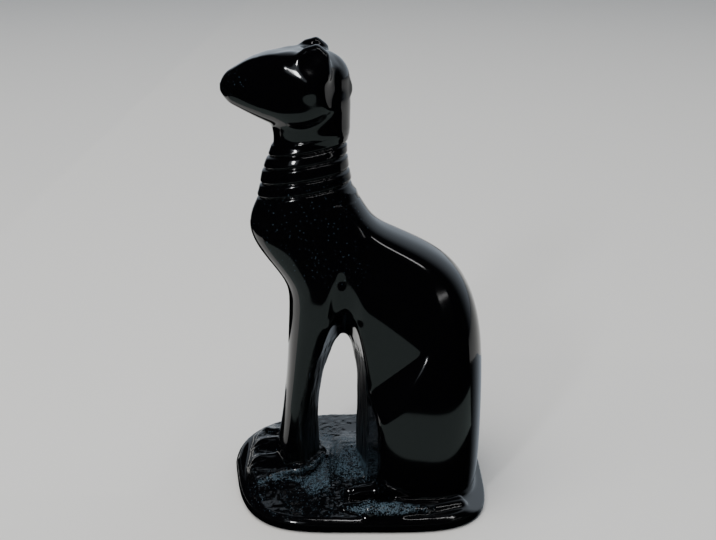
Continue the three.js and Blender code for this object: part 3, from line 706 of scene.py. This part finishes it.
def stone():
    """Polished black volcanic glass, greyed where it is frosted or scored, with pale dots of pits and dust
    that are partly painted glints.
    """
    material = bpy.data.materials.new("obsidian")
    material.use_nodes = True
    nodes, links = material.node_tree.nodes, material.node_tree.links
    shader = nodes["Principled BSDF"]
    place = nodes.new("ShaderNodeTexCoord").outputs["Object"]

    def noise_value(scale, stretch=(1, 1, 1)):
        mapping = nodes.new("ShaderNodeMapping")
        mapping.inputs["Scale"].default_value = stretch
        texture = nodes.new("ShaderNodeTexNoise")
        texture.inputs["Scale"].default_value = scale
        texture.inputs["Detail"].default_value = NOISE_DETAIL
        links.new(place, mapping.inputs["Vector"])
        links.new(mapping.outputs[0], texture.inputs["Vector"])
        return texture.outputs[0]

    def ramp(value, low, high, to_low=0.0, to_high=1.0):
        node = nodes.new("ShaderNodeMapRange")
        node.interpolation_type = "SMOOTHSTEP"
        for name, number in zip(RAMP_SOCKETS, (low, high, to_low, to_high)):
            node.inputs[name].default_value = number
        links.new(value, node.inputs["Value"])
        return node.outputs[0]

    def maths(operation, a, b):
        node = nodes.new("ShaderNodeMath")
        node.operation = operation
        for socket, value in zip(node.inputs, (a, b)):
            if isinstance(value, (int, float)):
                socket.default_value = value
            else:
                links.new(value, socket)
        return node.outputs[0]

    def wear_and_glints(name):
        node = nodes.new("ShaderNodeAttribute")
        node.attribute_name = name
        return node.outputs["Fac"]

    def frost():
        """Speckles on the unpolished ground, dense where it is frosted."""
        patches = maths("ADD", noise_value(FROST_GRAIN["patches"]), FROST_GRAIN["lift"])
        grain = maths("MULTIPLY", noise_value(FROST_GRAIN["fine"]), patches)
        grain = maths("ADD", grain, maths("MULTIPLY", wear_and_glints("frost"), FROST_GRAIN["denser"]))
        return maths("MULTIPLY", ramp(grain, FROST_GRAIN["from"], FROST_GRAIN["to"]), wear_and_glints("matte"))

    def strokes():
        """Upright streaks left by the tool."""
        streaks = noise_value(STROKE_GRAIN["scale"], STROKE_GRAIN["stretch"])
        streaks = ramp(streaks, STROKE_GRAIN["from"], STROKE_GRAIN["to"], 0, STROKE_GRAIN["most"])
        return maths("MULTIPLY", wear_and_glints("strokes"), streaks)

    def pit_and_glint_dots():
        """Scattered pale dots of pits and dust, partly painted glints, denser in some places than in others.
        """
        cells = nodes.new("ShaderNodeTexVoronoi")
        cells.inputs["Scale"].default_value = 1 / (PIT_AND_GLINT_DOTS["spacing"] * MM)
        links.new(place, cells.inputs["Vector"])
        share = PIT_AND_GLINT_DOTS["size"] / PIT_AND_GLINT_DOTS["spacing"]
        dots = ramp(cells.outputs["Distance"], share, PIT_AND_GLINT_DOTS["core"] * share)
        density = (PIT_AND_GLINT_DENSITY[name] for name in ("from", "to", "least", "most"))
        density = maths("MULTIPLY", wear_and_glints("pit_and_glint_dots"), ramp(noise_value(PIT_AND_GLINT_DENSITY["scale"]), *density))
        return maths("MULTIPLY", density, dots)

    speckles = frost()
    # Frost speckles and tool streaks, and the pale dots of pits and dust that are partly painted glints.
    worn_and_glinting = maths("MAXIMUM", maths("MAXIMUM", speckles, strokes()), pit_and_glint_dots())
    mix = nodes.new("ShaderNodeMix")
    mix.data_type = "RGBA"
    mix.inputs["A"].default_value = BLACK
    mix.inputs["B"].default_value = WHITENED
    links.new(worn_and_glinting, mix.inputs["Factor"])
    links.new(mix.outputs["Result"], shader.inputs["Base Color"])
    dull = maths("MAXIMUM", speckles, maths("MULTIPLY", wear_and_glints("matte"), DULLNESS["ground"]))
    dull = maths("MAXIMUM", dull, maths("MULTIPLY", wear_and_glints("strokes"), DULLNESS["strokes"]))
    links.new(ramp(dull, 0, 1, ROUGHNESS["polished"], ROUGHNESS["dull"]), shader.inputs["Roughness"])
    bump = nodes.new("ShaderNodeBump")
    bump.inputs["Distance"].default_value = BUMP["distance"]
    links.new(maths("MULTIPLY", dull, noise_value(BUMP["scale"])), bump.inputs["Height"])
    links.new(bump.outputs["Normal"], shader.inputs["Normal"])
    return material


carving = carve()
carving.data.materials.append(stone())
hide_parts("cat_statue")
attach(carving, "root")

# Camera at the photograph's place, in metres: beside the cat's left, looking down on it.
CAMERA_BACK = 0.2444
CAMERA_UP = 0.1506
CAMERA_DOWN = math.radians(20.26)
FOCAL_WIDTHS = 1014.5 / 716
CLIP_START = 0.01

# Stage, in metres: a pale floor, and the part of it that the polished stone mirrors, behind and to the right.
FLOOR = [(-3, -3), (3, -3), (3, 3), (-3, 3)]
MIRRORED_FLOOR = [
    (-0.17, 3), (-0.17, -0.01), (-0.055, -0.01), (-0.05, 0.05), (0.03, 0.08),
    (0.14, 0.07), (0.3, 0), (3, 0), (3, 3),
]
MIRRORED_HEIGHT = 0.0002
FLOOR_PAINT = {"Base Color": (0.8, 0.8, 0.79, 1), "Roughness": 0.7}

# A black card low behind the statue keeps the bright sky off the ground of the plinth.
FLAG = [(-0.07, 0.04, 0.022), (0.03, 0.04, 0.022), (0.03, 0.04, 0.062), (-0.07, 0.04, 0.062)]
FLAG_PAINT = {"Base Color": (0, 0, 0, 1), "Specular IOR Level": 0}

# Bright sky behind: its direction, and how its strength rises towards it.
SKY_TOWARD = (0.39, 0.86, 0.34)
SKY_RAMP = (0.38, 0.92, 0.002, 0.9)
SKY_COLOUR = (0.78, 0.88, 1, 1)

# Lamps, and glowing cards that only polished surfaces see.
KEY = {"place": (-0.26, -0.48, 0.36), "aim": (0, 0, 0.1), "size": (0.05, 0.1), "power": 1}
FILL = {
    "place": (-0.3, -0.2, 1.6), "aim": (0, 0.3, 0), "size": (1.6, 1.6), "power": 32,
    "colour": (1, 0.97, 0.93),
}
GLOW = {
    "place": (-0.27, -0.49, 0.37), "aim": (0, 0, 0.1), "size": (0.2, 0.24), "glow": 0.7,
    "colour": (0.8, 0.9, 1),
}
OVERHEAD = {"place": (0.25, -0.5, 0.75), "aim": (0.25, 0, 0.06), "size": (0.8, 0.035), "glow": 12}
SIDE_STRIP = {"place": (0.66, -0.53, 0.45), "aim": (0, 0, 0.06), "size": (0.3, 0.016), "glow": 4}
# Half a ring on the floor in front: half-axes of its inner and outer edge.
RING = {
    "half_axes": ((0.075, 0.056), (0.145, 0.145)), "height": 0.0005, "glow": 0.55,
    "colour": (0.7, 0.85, 0.82, 1),
}
RING_PARTS = 48


def camera():
    data = bpy.data.cameras.new("camera")
    data.sensor_fit = "HORIZONTAL"
    data.lens = data.sensor_width * FOCAL_WIDTHS
    data.clip_start = CLIP_START
    eye = bpy.data.objects.new("camera", data)
    eye.location = (0, -CAMERA_BACK, CAMERA_UP)
    eye.rotation_euler = (math.pi / 2 - CAMERA_DOWN, 0, 0)
    bpy.context.scene.collection.objects.link(eye)
    bpy.context.scene.camera = eye


def paint(name, sockets):
    """A plain material with the given values on the sockets of its shader."""
    material = bpy.data.materials.new(name)
    material.use_nodes = True
    shader = material.node_tree.nodes["Principled BSDF"]
    for socket, value in sockets.items():
        shader.inputs[socket].default_value = value
    return material


def glowing(name, glow, colour):
    material = bpy.data.materials.new(name)
    material.use_nodes = True
    nodes, links = material.node_tree.nodes, material.node_tree.links
    nodes.clear()
    out = nodes.new("ShaderNodeOutputMaterial")
    light = nodes.new("ShaderNodeEmission")
    light.inputs["Color"].default_value = colour
    light.inputs["Strength"].default_value = glow
    links.new(light.outputs[0], out.inputs[0])
    return material


def sheet(name, corners, faces, material):
    mesh = bpy.data.meshes.new(name)
    mesh.from_pydata(corners, [], faces)
    mesh.materials.append(material)
    panel = bpy.data.objects.new(name, mesh)
    bpy.context.scene.collection.objects.link(panel)
    return panel


def only_mirrored(panel):
    """Lets only polished surfaces see a panel."""
    panel.visible_camera = False
    panel.visible_diffuse = False
    panel.visible_shadow = False


def plane(name, outline_points, height):
    corners = [(x, y, height) for x, y in outline_points]
    floor = sheet(name, corners, [range(len(corners))], paint(name, FLOOR_PAINT))
    return floor


def dark_card(name, corners):
    panel = sheet(name, corners, [range(len(corners))], paint(name, FLAG_PAINT))
    only_mirrored(panel)


def ring_card(name, half_axes, height, glow, colour):
    """Half a ring of glowing card lying in front of the statue, seen only by polished surfaces."""
    turns = [math.pi * (1 + i / RING_PARTS) for i in range(RING_PARTS + 1)]
    corners = [(a * math.cos(t), b * math.sin(t), height) for a, b in half_axes for t in turns]
    faces = [(i, i + len(turns), i + len(turns) + 1, i + 1) for i in range(RING_PARTS)]
    panel = sheet(name, corners, faces, glowing(name, glow, colour))
    only_mirrored(panel)


def area_light(name, place, aim, size, power, colour=(1, 1, 1)):
    data = bpy.data.lights.new(name, "AREA")
    data.shape = "RECTANGLE"
    data.size, data.size_y = size
    data.energy = power
    data.color = colour
    lamp = bpy.data.objects.new(name, data)
    lamp.location = place
    lamp.rotation_euler = (Vector(aim) - Vector(place)).to_track_quat("-Z", "Y").to_euler()
    bpy.context.scene.collection.objects.link(lamp)
    return lamp


def card(name, place, aim, size, glow, colour=(1, 1, 1)):
    """A glowing panel that only polished surfaces see."""
    power = glow * math.pi * size[0] * size[1]
    only_mirrored(area_light(name, place, aim, size, power, colour))


def sky():
    """A soft bright patch of sky behind the statue, and a plain pale backdrop for the camera."""
    world = bpy.data.worlds.new("studio")
    world.use_nodes = True
    nodes, links = world.node_tree.nodes, world.node_tree.links
    nodes.clear()
    out = nodes.new("ShaderNodeOutputWorld")
    back = nodes.new("ShaderNodeBackground")
    place = nodes.new("ShaderNodeTexCoord")
    toward = nodes.new("ShaderNodeVectorMath")
    toward.operation = "DOT_PRODUCT"
    toward.inputs[1].default_value = SKY_TOWARD
    rise = nodes.new("ShaderNodeMapRange")
    rise.interpolation_type = "SMOOTHSTEP"
    for name, value in zip(RAMP_SOCKETS, SKY_RAMP):
        rise.inputs[name].default_value = value
    links.new(place.outputs["Generated"], toward.inputs[0])
    links.new(toward.outputs["Value"], rise.inputs["Value"])
    seen = nodes.new("ShaderNodeLightPath").outputs["Is Camera Ray"]
    brighter = nodes.new("ShaderNodeMath")
    brighter.operation = "MAXIMUM"
    links.new(rise.outputs[0], brighter.inputs[0])
    links.new(seen, brighter.inputs[1])
    links.new(brighter.outputs[0], back.inputs["Strength"])
    back.inputs["Color"].default_value = SKY_COLOUR
    links.new(back.outputs[0], out.inputs[0])
    bpy.context.scene.world = world


camera()
dark_card("flag", FLAG)
plane("floor", FLOOR, 0).visible_glossy = False
only_mirrored(plane("floor_mirrored", MIRRORED_FLOOR, MIRRORED_HEIGHT))
sky()
area_light("key", **KEY)
card("glow", **GLOW)
area_light("fill", **FILL).visible_glossy = False
card("overhead", **OVERHEAD)
card("side_strip", **SIDE_STRIP)
ring_card("front_card", **RING)
